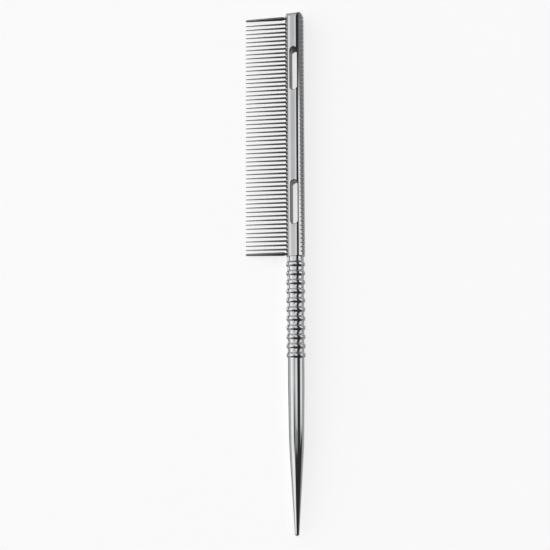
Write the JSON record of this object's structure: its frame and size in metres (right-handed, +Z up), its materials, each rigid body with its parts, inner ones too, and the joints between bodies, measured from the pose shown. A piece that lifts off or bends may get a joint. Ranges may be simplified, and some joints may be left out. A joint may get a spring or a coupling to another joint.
{
  "type": "tail comb",
  "caption": "Slim metal tail comb for parting hair: fine round teeth along one side of a flat-faced, windowed bar, with a ringed grip and a long tapered tail.",
  "frame": {"origin": "on the surface that the comb lies on, under the middle of its box", "axes": "+Y along the bar to its toothed end, -X to the tips of the teeth, +Z up from the surface"},
  "size_m": [0.0256, 0.229, 0.0082],
  "materials": {
    "bar_steel": "polished stainless steel, faintly scratched",
    "tooth_steel": "polished stainless steel wire"
  },
  "bodies": {
    "root": {"bar": "bar_steel", "guard_tooth_top": "tooth_steel", "guard_tooth_bottom": "tooth_steel", "tooth_01": "tooth_steel", "tooth_02": "tooth_steel", "tooth_03": "tooth_steel", "tooth_04": "tooth_steel", "tooth_05": "tooth_steel", "tooth_06": "tooth_steel", "tooth_07": "tooth_steel", "tooth_08": "tooth_steel", "tooth_09": "tooth_steel", "tooth_10": "tooth_steel", "tooth_11": "tooth_steel", "tooth_12": "tooth_steel", "tooth_13": "tooth_steel", "tooth_14": "tooth_steel", "tooth_15": "tooth_steel", "tooth_16": "tooth_steel", "tooth_17": "tooth_steel", "tooth_18": "tooth_steel", "tooth_19": "tooth_steel", "tooth_20": "tooth_steel", "tooth_21": "tooth_steel", "tooth_22": "tooth_steel", "tooth_23": "tooth_steel", "tooth_24": "tooth_steel", "tooth_25": "tooth_steel", "tooth_26": "tooth_steel", "tooth_27": "tooth_steel", "tooth_28": "tooth_steel", "tooth_29": "tooth_steel", "tooth_30": "tooth_steel", "tooth_31": "tooth_steel", "tooth_32": "tooth_steel", "tooth_33": "tooth_steel", "tooth_34": "tooth_steel", "tooth_35": "tooth_steel", "tooth_36": "tooth_steel", "tooth_37": "tooth_steel", "tooth_38": "tooth_steel", "tooth_39": "tooth_steel", "tooth_40": "tooth_steel", "tooth_41": "tooth_steel", "tooth_42": "tooth_steel", "tooth_43": "tooth_steel", "tooth_44": "tooth_steel", "tooth_45": "tooth_steel", "tooth_46": "tooth_steel", "tooth_47": "tooth_steel", "tooth_48": "tooth_steel", "tooth_49": "tooth_steel", "tooth_50": "tooth_steel", "tooth_51": "tooth_steel", "tooth_52": "tooth_steel", "tooth_53": "tooth_steel", "tooth_54": "tooth_steel", "tooth_55": "tooth_steel"}
  },
  "joints": []
}
